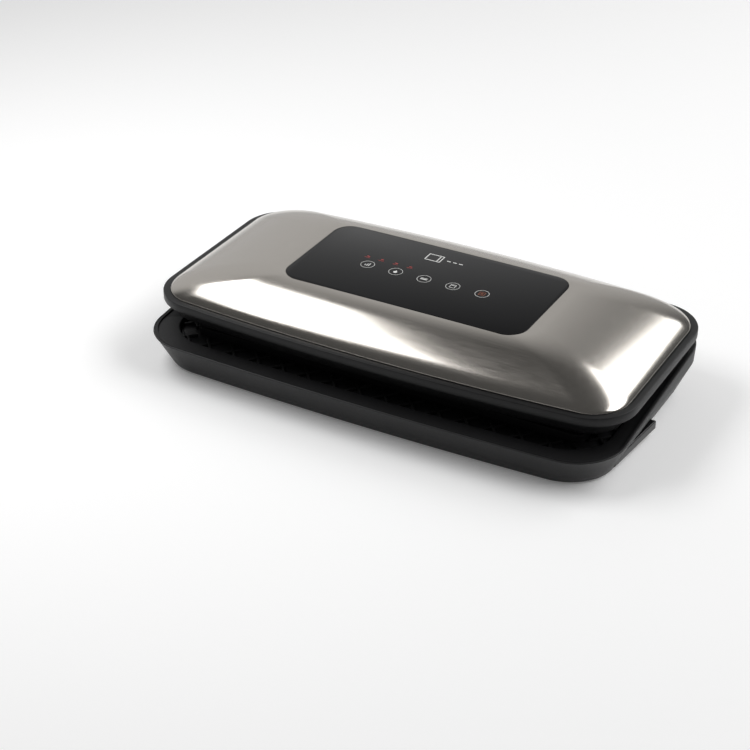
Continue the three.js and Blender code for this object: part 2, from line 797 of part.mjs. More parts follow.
const carrierTop = coverTop - panelThickness - gap;
const carrierOutline = outline(panelLength / 2 - 1, panelHalf - 1, panelRadius - 1, 0, lidMiddle);
const carrierWindow = outline(panelLength / 2 - 12, panelHalf - 12, 6, 0, lidMiddle);
const legBottom = ceilingHeight + wall + gap;
const carrierLegs = [-84, 84].flatMap((x) =>
  [-36, 36].map((y) => bar("z", 4, legBottom, carrierTop - 1, [x, lidMiddle + y])),
);
const carrier = join(
  cut(slab(carrierOutline, carrierTop - 3, carrierTop), slab(carrierWindow, carrierTop - 4, carrierTop + 1)),
  ...carrierLegs,
);
addPiece(lid, "panel_carrier", carrier, "blackPlastic");

const controlTop = carrierTop - gap;
const controlBoard = join(
  box(-80, 80, lidMiddle - 32, lidMiddle + 32, controlTop - boardThickness, controlTop),
  box(-30, -12, lidMiddle - 8, lidMiddle + 8, controlTop - 4, controlTop - 1),
  box(40, 62, lidMiddle + 10, lidMiddle + 20, controlTop - 9, controlTop - 1),
);
addPiece(lid, "control_board", controlBoard, "circuitBoard");

// Lining: the lid's flat underside with its skirt, gasket seat, strip channel and hinge arms
function lidLining() {
  const topEdge = bandBottom - gap;
  const floorTop = ceilingHeight + wall;
  const body = slab(lidOutline(skirtInset), skirtBottom, topEdge);
  const inside = slab(lidOutline(skirtInset + wall), floorTop, topEdge + 1);
  const under = slab(lidOutline(skirtInset + 3), skirtBottom - 1, ceilingHeight);
  const seatBottom = sealPlane + gap / 2 + 3;
  let lining = join(cut(body, inside, under), gasketRing(0, seatBottom, ceilingHeight + 0.5));
  const channelHalf = barWidth / 2;
  const lips = [barY - channelHalf - 1.4, barY + channelHalf].map((y) =>
    box(-barHalfLength - 2, barHalfLength + 2, y, y + 1.4, seatBottom, ceilingHeight + 0.5),
  );
  lining = join(lining, ...lips);
  for (const side of [-1, 1]) {
    const x0 = side * hingeX - barrelLength / 2;
    const x1 = x0 + barrelLength;
    const arm = box(x0, x1, lidSetBack + bandHalfDepth - skirtInset - 6, hingeY, hingeZ - 4, topEdge);
    const barrel = bar("x", barrelRadius, x0, x1, [hingeY, hingeZ]);
    const bore = bar("x", hingePinRadius + runningGap, x0 - 1, x1 + 1, [hingeY, hingeZ]);
    lining = cut(join(lining, arm, barrel), bore);
  }
  return lining;
}

addPiece(lid, "lid_lining", lidLining(), "blackPlastic");
addPiece(lid, "upper_gasket", gasketRing(0, sealPlane + gap / 2, sealPlane + gap / 2 + 3 - gap), "foam");

const pressStripHalf = barWidth / 2 - gap;
const pressStrip = box(
  -barHalfLength,
  barHalfLength,
  barY - pressStripHalf,
  barY + pressStripHalf,
  tapeBottom + tapeThickness + 0.4,
  ceilingHeight - gap,
);
addPiece(lid, "pressure_strip", pressStrip, "silicone");

// Catches that reach down into the base beside the lever hooks
const catchHalf = catchThickness / 2;
const catchPlateTop = ceilingHeight - gap;
const catchPiece = join(
  box(catchX - catchHalf, catchX + catchHalf, catchFront, catchBack, catchBottom, catchPlateTop),
  box(catchX - 7, catchX + 5, catchFront - 3, catchBack + 3, catchPlateTop - 2.2, catchPlateTop),
  polygon(
    [
      [catchX - catchHalf - 2.5, catchFront],
      [catchX, catchFront],
      [catchX, catchBack],
      [catchX - catchHalf - 2.5, catchBack],
    ],
    catchBottom,
    catchBottom + 1.7,
  ),
);
addPiece(lid, "lid_catch_right", catchPiece, "blackPlastic");
addPiece(lid, "lid_catch_left", mirrored(catchPiece), "blackPlastic");

export default machine;
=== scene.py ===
import math

import bmesh
import bpy
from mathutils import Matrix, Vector


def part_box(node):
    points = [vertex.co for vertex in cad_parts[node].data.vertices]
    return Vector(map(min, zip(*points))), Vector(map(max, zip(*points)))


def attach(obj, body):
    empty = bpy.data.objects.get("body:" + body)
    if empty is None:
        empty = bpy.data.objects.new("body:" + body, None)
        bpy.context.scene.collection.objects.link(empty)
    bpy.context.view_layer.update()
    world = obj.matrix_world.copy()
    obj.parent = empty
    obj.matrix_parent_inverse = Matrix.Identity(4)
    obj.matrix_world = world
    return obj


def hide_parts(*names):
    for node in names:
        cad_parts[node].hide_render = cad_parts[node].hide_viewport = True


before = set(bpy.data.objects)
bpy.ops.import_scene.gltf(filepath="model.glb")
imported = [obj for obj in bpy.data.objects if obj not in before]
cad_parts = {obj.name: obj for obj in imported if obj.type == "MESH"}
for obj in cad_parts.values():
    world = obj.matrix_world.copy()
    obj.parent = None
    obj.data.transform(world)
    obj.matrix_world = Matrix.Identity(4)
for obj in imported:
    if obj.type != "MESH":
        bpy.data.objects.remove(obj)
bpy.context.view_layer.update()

# Sizes in this file are in millimetres; mm turns them into Blender's metres.
mm = 0.001
quarterTurn = math.pi / 2


def span(node):
    low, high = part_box(node)
    return Vector(low) / mm, Vector(high) / mm


# Modelling helpers


def focus(piece):
    if bpy.context.object and bpy.context.object.mode != "OBJECT":
        bpy.ops.object.mode_set(mode="OBJECT")
    bpy.ops.object.select_all(action="DESELECT")
    piece.select_set(True)
    bpy.context.view_layer.objects.active = piece


def edit(piece):
    focus(piece)
    bpy.ops.object.mode_set(mode="EDIT")


def pick(piece, kind, test):
    bpy.ops.mesh.select_mode(type=kind)
    bpy.ops.mesh.select_all(action="DESELECT")
    mesh = bmesh.from_edit_mesh(piece.data)
    if kind == "VERT":
        for vert in mesh.verts:
            vert.select = bool(test(vert, vert.co / mm))
    if kind == "EDGE":
        for edge in mesh.edges:
            edge.select = bool(test(edge, (edge.verts[0].co + edge.verts[1].co) / 2 / mm))
    if kind == "FACE":
        for face in mesh.faces:
            face.select = bool(test(face, face.calc_center_median() / mm))
    mesh.select_flush_mode()
    bmesh.update_edit_mesh(piece.data)


# Ends the modelling of a piece: closed seams, outward normals, smooth shading up to an angle.
def settle(piece, angle=32):
    edit(piece)
    bpy.ops.mesh.select_all(action="SELECT")
    bpy.ops.mesh.remove_doubles(threshold=0.004 * mm)
    bpy.ops.mesh.normals_make_consistent(inside=False)
    focus(piece)
    bpy.ops.object.transform_apply(location=True, rotation=True, scale=True)
    bpy.ops.object.shade_smooth_by_angle(angle=math.radians(angle))
    return piece


def combine(piece, tool, operation):
    focus(piece)
    change = piece.modifiers.new("combine", "BOOLEAN")
    change.operation = operation
    change.solver = "EXACT"
    change.object = tool
    bpy.ops.object.modifier_apply(modifier=change.name)
    bpy.data.objects.remove(tool)
    return piece


def cut(piece, tool):
    return combine(piece, tool, "DIFFERENCE")


def weld(piece, tool):
    return combine(piece, tool, "UNION")


def softenEdges(piece, width, segments=2, angle=35):
    focus(piece)
    bevel = piece.modifiers.new("edges", "BEVEL")
    bevel.width = width * mm
    bevel.segments = segments
    bevel.limit_method = "ANGLE"
    bevel.angle_limit = math.radians(angle)
    bevel.use_clamp_overlap = True
    bpy.ops.object.modifier_apply(modifier=bevel.name)
    return piece


def joinUp(name, pieces):
    focus(pieces[0])
    for piece in pieces:
        piece.select_set(True)
    bpy.ops.object.join()
    pieces[0].name = name
    return pieces[0]


def copyOf(piece, name, move=(0, 0, 0), flip=False):
    focus(piece)
    bpy.ops.object.duplicate(linked=False)
    twin = bpy.context.object
    twin.name = name
    edit(twin)
    bpy.ops.mesh.select_all(action="SELECT")
    if flip:
        bpy.ops.transform.resize(value=(-1, 1, 1), center_override=(0, 0, 0))
        bpy.ops.mesh.normals_make_consistent(inside=False)
    bpy.ops.transform.translate(value=Vector(move) * mm)
    focus(twin)
    return twin


# A flat outline lying level: a rectangle with round corners, whose long edges may bow out.
def startOutline(name, shape, filled=True, arcSteps=8, edgeSteps=24):
    bpy.ops.object.select_all(action="DESELECT")
    bpy.ops.mesh.primitive_plane_add(size=1)
    piece = bpy.context.object
    piece.name = name
    bow = shape.get("bow", 0)
    straight = shape["halfDepth"] - bow
    reach = shape["halfLength"] - shape["radius"]
    edit(piece)
    bpy.ops.transform.resize(value=(2 * shape["halfLength"] * mm, 2 * straight * mm, 1))
    bpy.ops.mesh.bevel(
        offset=shape["radius"] * mm, offset_type="OFFSET", segments=arcSteps, affect="VERTICES", profile=0.5
    )
    if not filled:
        bpy.ops.mesh.select_all(action="SELECT")
        bpy.ops.mesh.delete(type="ONLY_FACE")
    if bow:
        pick(piece, "EDGE", lambda edge, place: abs(place.x) < 0.1 and abs(place.y) > straight - 0.1)
        bpy.ops.mesh.subdivide(number_cuts=edgeSteps - 1)
        for side in (-1, 1):
            pick(piece, "VERT", lambda vert, place: abs(place.x) < 0.1 and place.y * side > 0)
            bpy.ops.transform.translate(
                value=(0, side * bow * mm, 0),
                use_proportional_edit=True,
                proportional_edit_falloff="INVERSE_SQUARE",
                proportional_size=reach * mm,
                use_proportional_connected=True,
            )
    bpy.ops.mesh.select_mode(type="FACE" if filled else "EDGE")
    bpy.ops.mesh.select_all(action="SELECT")
    return piece


# Carries the outline through (inset x, inset y, height) steps; it ends where it is, or meets its start.
def raiseOutline(piece, shape, steps):
    middle = Vector((shape.get("centreX", 0), shape.get("centreY", 0), 0))
    halves = (shape["halfLength"], shape["halfDepth"])
    bpy.ops.mesh.select_all(action="SELECT")
    bpy.ops.transform.translate(value=middle * mm)
    before = (0, 0, 0)
    for count, step in enumerate(steps):
        up = (0, 0, (step[2] - before[2]) * mm)
        if count:
            bpy.ops.mesh.extrude_region_move(TRANSFORM_OT_translate={"value": up})
        else:
            bpy.ops.transform.translate(value=up)
        grown = [(half - now) / (half - was) for half, now, was in zip(halves, step, before)]
        bpy.ops.transform.resize(value=(*grown, 1), center_override=middle * mm)
        before = step
    return piece


def solidFrom(name, shape, steps, arcSteps=8, edgeSteps=24):
    piece = startOutline(name, shape, True, arcSteps, edgeSteps)
    raiseOutline(piece, shape, steps)
    return settle(piece)


def ringFrom(name, shape, steps, arcSteps=8, edgeSteps=24):
    piece = startOutline(name, shape, False, arcSteps, edgeSteps)
    raiseOutline(piece, shape, [*steps, steps[0]])
    return settle(piece)


def shapeBetween(low, high, radius, bow=0):
    return {
        "halfLength": (high[0] - low[0]) / 2,
        "halfDepth": (high[1] - low[1]) / 2,
        "centreX": (low[0] + high[0]) / 2,
        "centreY": (low[1] + high[1]) / 2,
        "radius": radius,
        "bow": bow,
    }


# A level plate with round corners and, if asked, softened top or bottom edges.
def plate(name, low, high, radius, softTop=0, softBottom=0, arcSteps=5):
    steps = [(0, 0, low[2])]
    if softBottom:
        steps = [(softBottom, softBottom, low[2])]
        steps.append((softBottom * 0.3, softBottom * 0.3, low[2] + softBottom * 0.3))
        steps.append((0, 0, low[2] + softBottom))
    if softTop:
        steps.append((0, 0, high[2] - softTop))
        steps.append((softTop * 0.3, softTop * 0.3, high[2] - softTop * 0.3))
        steps.append((softTop, softTop, high[2]))
    else:
        steps.append((0, 0, high[2]))
    return solidFrom(name, shapeBetween(low, high, radius), steps, arcSteps)


def block(name, low, high, soft=0):
    bpy.ops.object.select_all(action="DESELECT")
    low, high = Vector(low), Vector(high)
    bpy.ops.mesh.primitive_cube_add(size=1)
    piece = bpy.context.object
    piece.name = name
    edit(piece)
    bpy.ops.transform.resize(value=(high - low) * mm)
    bpy.ops.transform.translate(value=(low + high) / 2 * mm)
    if soft:
        bpy.ops.mesh.bevel(offset=soft * mm, segments=2, affect="EDGES")
    return settle(piece)


# A round bar between two places on an axis, with softened rims.
def bar(name, axis, radius, start, end, centre, sides=32, soft=0):
    bpy.ops.object.select_all(action="DESELECT")
    bpy.ops.mesh.primitive_cylinder_add(vertices=sides, radius=radius * mm, depth=(end - start) * mm)
    piece = bpy.context.object
    piece.name = name
    edit(piece)
    if soft:
        pick(piece, "EDGE", lambda edge, place: abs(abs(place.z) - (end - start) / 2) < 0.001)
        bpy.ops.mesh.bevel(offset=soft * mm, segments=3, affect="EDGES")
    bpy.ops.mesh.select_all(action="SELECT")
    middle = (start + end) / 2
    turn = {"x": "Y", "y": "X"}
    if axis in turn:
        bpy.ops.transform.rotate(value=quarterTurn, orient_axis=turn[axis], center_override=(0, 0, 0))
    first, second = centre
    place = {"x": (middle, first, second), "y": (first, middle, second), "z": (first, second, middle)}[axis]
    bpy.ops.transform.translate(value=Vector(place) * mm)
    return settle(piece)


# Materials

def linearColour(hexText):
    parts = [int(hexText[i : i + 2], 16) / 255 for i in (0, 2, 4)]
    return (*[c / 12.92 if c <= 0.04045 else ((c + 0.055) / 1.055) ** 2.4 for c in parts], 1)


def addNode(tree, kind, settings=None, feeds=None):
    node = tree.nodes.new(kind)
    for key, value in (settings or {}).items():
        if key in node.inputs:
            node.inputs[key].default_value = value
        else:
            setattr(node, key, value)
    for socket, source in (feeds or {}).items():
        tree.links.new(source, node.inputs[socket])
    return node


def startMaterial(name, settings):
    material = bpy.data.materials.new(name)
    material.use_nodes = True
    shader = material.node_tree.nodes["Principled BSDF"]
    for key, value in settings.items():
        shader.inputs[key].default_value = value
    return material, material.node_tree, shader


# Coordinates stretched so that one unit of a pattern is as long as cell, in millimetres.
def patternSpace(tree, cell):
    place = addNode(tree, "ShaderNodeTexCoord")
    scale = tuple(1 / (side * mm) for side in cell)
    return addNode(tree, "ShaderNodeMapping", {"Scale": scale}, {"Vector": place.outputs["Object"]})


# Lets a pattern vary a finish: its roughness, its relief (strength, depth in millimetres) and its colour.
def varyWith(tree, shader, pattern, roughness=None, relief=None, colours=None):
    if roughness:
        spread = addNode(
            tree,
            "ShaderNodeMapRange",
            {"From Min": 0.3, "From Max": 0.7, "To Min": roughness[0], "To Max": roughness[1]},
            {"Value": pattern.outputs[0]},
        )
        tree.links.new(spread.outputs["Result"], shader.inputs["Roughness"])
    if relief:
        bump = addNode(
            tree,
            "ShaderNodeBump",
            {"Strength": relief[0], "Distance": relief[1] * mm},
            {"Height": pattern.outputs[0]},
        )
        tree.links.new(bump.outputs["Normal"], shader.inputs["Normal"])
    if colours:
        mix = addNode(tree, "ShaderNodeMix", {"data_type": "RGBA"}, {0: pattern.outputs[0]})
        mix.inputs[6].default_value = linearColour(colours[0])
        mix.inputs[7].default_value = linearColour(colours[1])
        tree.links.new(mix.outputs[2], shader.inputs["Base Color"])


# Warm grey sheet steel with a straight satin brushing along its length.
def brushedSteel():
    material, tree, shader = startMaterial(
        "brushedStainlessSteel", {"Metallic": 1, "Anisotropic": 0.3}
    )
    fine = addNode(
        tree,
        "ShaderNodeTexNoise",
        {"Scale": 1, "Detail": 3, "Roughness": 0.6},
        {"Vector": patternSpace(tree, (60, 0.5, 0.5)).outputs[0]},
    )
    varyWith(tree, shader, fine, roughness=(0.15, 0.22), colours=("BAB5AE", "CBC6BF"))
    along = addNode(tree, "ShaderNodeTangent", {"direction_type": "UV_MAP"})
    tree.links.new(along.outputs[0], shader.inputs["Tangent"])
    return material


# Black moulded plastic with a fine leather-like grain.
def grainedPlastic(name, first, second, roughness, depth=0.03):
    material, tree, shader = startMaterial(name, {"Specular IOR Level": 0.3})
    grain = addNode(
        tree,
        "ShaderNodeTexNoise",
        {"Scale": 1, "Detail": 4, "Roughness": 0.55},
        {"Vector": patternSpace(tree, (0.9, 0.9, 0.9)).outputs[0]},
    )
    wear = addNode(
        tree,
        "ShaderNodeTexNoise",
        {"Scale": 1, "Detail": 2},
        {"Vector": patternSpace(tree, (22, 22, 22)).outputs[0]},
    )
    spread = (roughness - 0.06, roughness + 0.06)
    varyWith(tree, shader, grain, roughness=spread, relief=(0.5, depth))
    varyWith(tree, shader, wear, colours=(first, second))
    return material


def smoothFinish(name, colour, roughness, metallic=0, cell=3, spread=0.05, **settings):
    material, tree, shader = startMaterial(
        name, {"Base Color": linearColour(colour), "Metallic": metallic, **settings}
    )
    cloud = addNode(
        tree,
        "ShaderNodeTexNoise",
        {"Scale": 1, "Detail": 3},
        {"Vector": patternSpace(tree, (cell, cell, cell)).outputs[0]},
    )
    varyWith(tree, shader, cloud, roughness=(max(roughness - spread, 0.02), roughness + spread))
    return material


# Closed-cell foam: dull, dark grey, with small open pores.
def gasketFoam():
    material, tree, shader = startMaterial("blackGasketFoam", {"Roughness": 0.95})
    pores = addNode(
        tree,
        "ShaderNodeTexVoronoi",
        {"Scale": 1},
        {"Vector": patternSpace(tree, (0.7, 0.7, 0.7)).outputs[0]},
    )
    varyWith(tree, shader, pores, relief=(0.7, 0.15), colours=("1B1B1D", "343437"))
    return material


# Woven glass cloth under a brown non-stick coating.
def coatedTape():
    material, tree, shader = startMaterial("brownCoatedGlassTape", {"Roughness": 0.5})
    weave = addNode(
        tree,
        "ShaderNodeTexWave",
        {"Scale": 1, "Distortion": 0.4, "Detail": 1},
        {"Vector": patternSpace(tree, (2.4, 2.4, 2.4)).outputs[0]},
    )
    varyWith(tree, shader, weave, relief=(0.4, 0.05), colours=("5A3D28", "745338"))
    return material


finishes = {
    "steel": brushedSteel(),
    # The lid's frame: near black with a soft sheen that shows its edges
    "frame": grainedPlastic("satinBlackLidPlastic", "101011", "161617", 0.42),
    # The base: the same plastic, a little paler and duller
    "base": grainedPlastic("mattBlackBasePlastic", "1B1B1C", "222223", 0.46),
    # Levers and hinge parts that catch a clear highlight
    "gloss": smoothFinish("glossBlackPlastic", "111112", 0.16),
    # The printed face: smooth and dark, with a faint even reflection
    "panel": smoothFinish(
        "blackPanelGlass", "151516", 0.17, spread=0.02, cell=40, **{"Specular IOR Level": 0.16}
    ),
    "print": smoothFinish("whitePanelInk", "E2E2E0", 0.5),
    "redPrint": smoothFinish("redPanelInk", "B03A38", 0.5),
    "amberPrint": smoothFinish("amberPanelInk", "6E3418", 0.45),
    "foot": smoothFinish("softRubberFeet", "151516", 0.85),
    "foam": gasketFoam(),
    "silicone": smoothFinish("greySilicone", "4B4B4D", 0.6),
    "tape": coatedTape(),
    "bright": smoothFinish("nickelPlatedBrass", "C9CACC", 0.24, 1),
    "zinc": smoothFinish("zincPlatedSteel", "9FA1A4", 0.38, 1, cell=5, spread=0.1),
    "brass": smoothFinish("turnedBrass", "C29C50", 0.34, 1),
    "board": smoothFinish("greenCircuitBoard", "1D5A36", 0.5),
    "nylon": smoothFinish("whiteNylon", "D8D6CF", 0.5),
    "winding": smoothFinish("enamelledCopper", "A3603A", 0.42, 0.6),
}


def dress(piece, finish, body, slot, *nodes):
    piece.data.materials.clear()
    piece.data.materials.append(finishes[finish])
    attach(piece, body)
    if nodes:
        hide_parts(*nodes)
    return piece


print("helpers and finishes ready")

# Lid frame

frameLow, frameHigh = span("lid_frame")
bow = 6.3
lidShape = shapeBetween(frameLow, frameHigh, 35.5, bow)


def insetShape(shape, inset, smallest=6):
    return {
        **shape,
        "halfLength": shape["halfLength"] - inset,
        "halfDepth": shape["halfDepth"] - inset,
        "radius": max(shape["radius"] - inset, smallest),
    }


def lidFrame():
    size = {"soft": 0.8, "shelf": 8.5, "shelfDrop": 4.4, "opening": 19.5, "ledgeDrop": 0.35}
    soft, bottom, top = size["soft"], frameLow.z, frameHigh.z
    ledge = top - size["ledgeDrop"]
    shelfFloor = top - size["shelfDrop"]
    rounded = [(0, soft), (0.3 * soft, 0.3 * soft), (soft, 0)]
    steps = [(inset, inset, bottom + up) for inset, up in reversed(rounded)]
    steps += [(inset, inset, top - down) for inset, down in rounded]
    for inset, height in (
        (4.6, top),
        (5.0, ledge),
        (5.6, ledge),
        (size["shelf"], ledge),
        (size["shelf"], shelfFloor),
        (size["opening"], shelfFloor),
        (size["opening"], bottom),
    ):
        steps.append((inset, inset, height))
    piece = ringFrom("lidFrame", lidShape, steps, arcSteps=16)
    return dress(piece, "frame", "lid", "black_abs", "lid_frame")


lidFrame()
print("lid frame")

# Steel cover: its section leaves the edge upright and rolls over to a level top.

coverLow, coverHigh = span("steel_cover")
panelLow, panelHigh = span("touch_panel")
coverShape = shapeBetween(coverLow, coverHigh, 30, bow)


def steelCover():
    size = {"endRun": 80, "longRun": 42, "roundness": 1.6, "crown": 1.45, "rings": 36}
    size |= {"wall": 0.9, "gap": 0.3}
    rise = coverHigh.z - coverLow.z
    steps = []
    for i in range(size["rings"] + 1):
        angle = quarterTurn * i / size["rings"]
        inward = 1 - max(math.cos(angle), 0) ** (2 / size["roundness"])
        height = coverLow.z + rise * math.sin(angle) ** (2 / size["crown"])
        steps.append((size["endRun"] * inward, size["longRun"] * inward, height))
    piece = startOutline("steelCover", coverShape, True, arcSteps=16)
    raiseOutline(piece, coverShape, steps)
    pick(piece, "FACE", lambda face, place: place.z < coverLow.z + 0.001 and abs(face.normal.z) > 0.9)
    bpy.ops.mesh.delete(type="FACE")
    settle(piece, 60)
    shell = piece.modifiers.new("sheet", "SOLIDIFY")
    shell.thickness = size["wall"] * mm
    shell.offset = -1
    bpy.ops.object.modifier_apply(modifier=shell.name)
    gap = Vector((size["gap"], size["gap"], 0))
    opening = shapeBetween(panelLow - gap, panelHigh + gap, 15.2)
    cut(piece, solidFrom("opening", opening, [(0, 0, 60), (0, 0, 90)], arcSteps=12))
    focus(piece)
    bpy.ops.object.shade_smooth_by_angle(angle=math.radians(40))
    layer = piece.data.uv_layers.new(name="brushing")
    for loop in piece.data.loops:
        spot = piece.data.vertices[loop.vertex_index].co
        layer.data[loop.index].uv = (spot.x, spot.y + spot.z)
    return dress(piece, "steel", "lid", "brushed_stainless_steel", "steel_cover")


steelCover()
print("steel cover")

# Touch panel and what is printed on it

panelTop = panelHigh.z


def touchPanel():
    soft = 0.35
    shape = shapeBetween(panelLow, panelHigh, 14.9)
    steps = [(0, 0, panelLow.z), (0, 0, panelTop - soft), (0.3 * soft, 0.3 * soft, panelTop - 0.3 * soft)]
    steps.append((soft, soft, panelTop))
    piece = solidFrom("touchPanel", shape, steps, arcSteps=12)
    return dress(piece, "panel", "lid", "black_panel", "touch_panel")


touchPanel()

printSize = {"ringRadius": 5.4, "line": 0.32, "height": 0.05, "firstX": -48.2, "pitch": 23.8, "y": 4.6}


def printedPlate(low, high, radius):
    bottom = panelTop - 0.02
    return plate("mark", (*low, bottom), (*high, panelTop + printSize["height"]), radius, arcSteps=3)


def printedRing(x, y, radius, line):
    mark = bar("mark", "z", radius, panelTop - 0.02, panelTop + printSize["height"], (x, y), 48)
    edit(mark)
    pick(mark, "FACE", lambda face, place: abs(face.normal.z) > 0.9)
    bpy.ops.mesh.inset(thickness=line * mm)
    bpy.ops.mesh.bridge_edge_loops()
    focus(mark)
    return mark


print("panel")


def printedBox(x, y, length, width, line):
    half = Vector((length / 2, width / 2))
    mark = printedPlate(Vector((x, y)) - half, Vector((x, y)) + half, 0.6)
    edit(mark)
    pick(mark, "FACE", lambda face, place: abs(face.normal.z) > 0.9)
    bpy.ops.mesh.inset(thickness=line * mm)
    bpy.ops.mesh.bridge_edge_loops()
    focus(mark)
    return mark


def printedStroke(x, y, length, width):
    half = Vector((length / 2, width / 2))
    return printedPlate(Vector((x, y)) - half, Vector((x, y)) + half, min(length, width) * 0.3)


def printedDrop(x, y, radius):
    mark = bar("mark", "z", radius, panelTop - 0.02, panelTop + printSize["height"], (x, y), 24)
    edit(mark)
    pick(mark, "VERT", lambda vert, place: place.y > y + radius * 0.99)
    bpy.ops.transform.translate(value=(0, radius * mm, 0))
    focus(mark)
    return mark


# Plain symbols: bars for the mode, a drop for moist food, a sealed edge, a pouch and a stop square.
def panelPrint():
    size = printSize
    row = size["y"]
    xs = [size["firstX"] + size["pitch"] * i for i in range(5)]
    white = [printedRing(x, row, size["ringRadius"], size["line"]) for x in xs]
    for i, tall in enumerate((2.2, 3.4, 4.6)):
        white.append(printedStroke(xs[0] + 1.5 * (i - 1), row + (tall - 4.6) / 2, 0.6, tall))
    white.append(printedDrop(xs[1], row - 0.7, 1.5))
    white.append(printedStroke(xs[2], row + 0.9, 5.6, 0.5))
    white.append(printedStroke(xs[2], row - 0.7, 5.6, 1.1))
    white.append(printedBox(xs[3], row, 4.4, 5.2, 0.4))
    white.append(printedStroke(xs[3], row + 1.1, 3.2, 0.5))
    pouch = {"x": -9, "y": 38, "length": 13, "width": 10}
    white.append(printedBox(pouch["x"], pouch["y"], pouch["length"], pouch["width"], 0.8))
    white.append(printedStroke(pouch["x"] + 3.6, pouch["y"], 0.8, pouch["width"] - 2.6))
    for i in range(3):
        white.append(printedStroke(pouch["x"] + 12 + 5 * i, pouch["y"], 3.2, 1))
    red = []
    lamp = {"firstX": -54, "pitch": 12, "lampY": 16.4, "lineY": 14.4}
    for i in range(4):
        x = lamp["firstX"] + lamp["pitch"] * i
        red.append(printedStroke(x, lamp["lampY"], 2.4, 0.9))
        red.append(printedStroke(x, lamp["lineY"], 4.6, 0.4))
    amber = [printedBox(xs[4], row, 5, 5, 0.7), printedStroke(xs[4], row, 2, 2)]
    ink = {
        "panelPrintWhite": (white, "print"),
        "panelPrintRed": (red, "redPrint"),
        "stopPrint": (amber, "amberPrint"),
    }
    for name, (marks, finish) in ink.items():
        dress(settle(joinUp(name, marks)), finish, "lid", "black_panel")


panelPrint()
print("panel print")

# Lid lining, gasket, strip and catches

liningLow = span("lid_lining")[0]
gasketLow, gasketHigh = span("upper_gasket")
stripLow, stripHigh = span("pressure_strip")
hinge = {"x": 120, "y": 97.7, "z": 39.5, "pin": 2, "barrel": 5.2, "length": 11.2, "ear": 5}
ceiling = 36


def ringShape(low, high, grow=0):
    return shapeBetween(low - Vector((grow, grow, 0)), high + Vector((grow, grow, 0)), 9 + grow)


def gasketRing(name, low, high, soft, band, grow=0):
    bottom, top = low.z, high.z
    outer = [(soft, bottom), (0.3 * soft, bottom + 0.3 * soft), (0, bottom + soft)]
    outer += [(0, top - soft), (0.3 * soft, top - 0.3 * soft), (soft, top)]
    inner = [(band - inset, height) for inset, height in reversed(outer)]
    steps = [(inset, inset, height) for inset, height in outer + inner]
    return ringFrom(name, ringShape(low, high, grow), steps, arcSteps=8)


def lidLining():
    size = {"inset": 11, "wall": 2.4, "skirt": 3, "foot": 1.2, "floorTop": 38.4, "lipHalf": 154}
    rib = {"pitch": 32, "half": 0.8, "front": 14, "back": 84, "drop": 2.2, "reach": 160, "longDrop": 1.6}
    shape = insetShape(lidShape, size["inset"])
    wall, skirt, foot = size["wall"], size["skirt"], size["foot"]
    low, top = liningLow.z, frameLow.z - 0.3
    steps = [(wall, size["floorTop"]), (wall, top), (0.3, top), (0, top - 0.3), (0, low + foot)]
    steps += [(0.3 * foot, low + 0.3 * foot), (foot, low), (skirt - 0.6, low), (skirt - 0.15, low + 0.15)]
    steps += [(skirt, low + 0.6), (skirt, ceiling - 0.8)]
    steps += [(skirt + 0.25, ceiling - 0.25), (skirt + 0.8, ceiling)]
    piece = solidFrom("lidLining", shape, [(inset, inset, height) for inset, height in steps], arcSteps=14)
    seat = gasketHigh.z + 0.3
    ringLow, ringHigh = Vector((*gasketLow.xy, seat)), Vector((*gasketHigh.xy, ceiling + 0.5))
    weld(piece, gasketRing("seat", ringLow, ringHigh, 0.3, 7))
    above = ceiling + 0.5
    for front, back in ((stripLow.y - 1.7, stripLow.y - 0.3), (stripHigh.y + 0.3, stripHigh.y + 1.7)):
        weld(piece, block("lip", (-size["lipHalf"], front, seat), (size["lipHalf"], back, above), 0.3))
    # Ribs across the space behind the gasket
    for i in range(-4, 5):
        if abs(i) != 3:
            x = i * rib["pitch"]
            start = (x - rib["half"], rib["front"], ceiling - rib["drop"])
            weld(piece, block("rib", start, (x + rib["half"], rib["back"], above), 0.25))
    for y in (32, 66):
        start = (-rib["reach"], y - rib["half"], ceiling - rib["longDrop"])
        weld(piece, block("rib", start, (rib["reach"], y + rib["half"], above), 0.25))
    for side in (-1, 1):
        x = side * hinge["x"]
        near, far = x - hinge["length"] / 2, x + hinge["length"] / 2
        arm = block("arm", (near, 86.4, hinge["z"] - 4), (far, hinge["y"], top), 0.5)
        weld(piece, arm)
        weld(piece, bar("barrel", "x", hinge["barrel"], near, far, (hinge["y"], hinge["z"]), 40, 0.4))
        bore = (hinge["y"], hinge["z"])
        cut(piece, bar("bore", "x", hinge["pin"] + 0.06, near - 1, far + 1, bore, 32))
    settle(piece)
    return dress(piece, "frame", "lid", "black_abs", "lid_lining")


def liningScrews():
    screw = bar("liningScrew", "z", 2.6, ceiling - 1.4, ceiling + 0.6, (0, 0), 28, 0.35)
    long, thin, depth = 1.6, 0.35, ceiling - 0.7
    cross = block("cross", (-long, -thin, 30), (long, thin, depth))
    weld(cross, block("cross", (-thin, -long, 30), (thin, long, depth)))
    settle(cut(screw, cross))
    places = [(-146, 24), (146, 24), (-80, 76), (80, 76), (-16, 24), (16, 24)]
    for i, (x, y) in enumerate(places):
        twin = copyOf(screw, f"liningScrew{i + 1}", (x, y, 0))
        dress(settle(twin), "zinc", "lid", "zinc_plated_steel")
    bpy.data.objects.remove(screw)


def upperGasket():
    piece = gasketRing("upperGasket", gasketLow, gasketHigh, 0.8, 7)
    dress(piece, "foam", "lid", "gasket_foam", "upper_gasket")


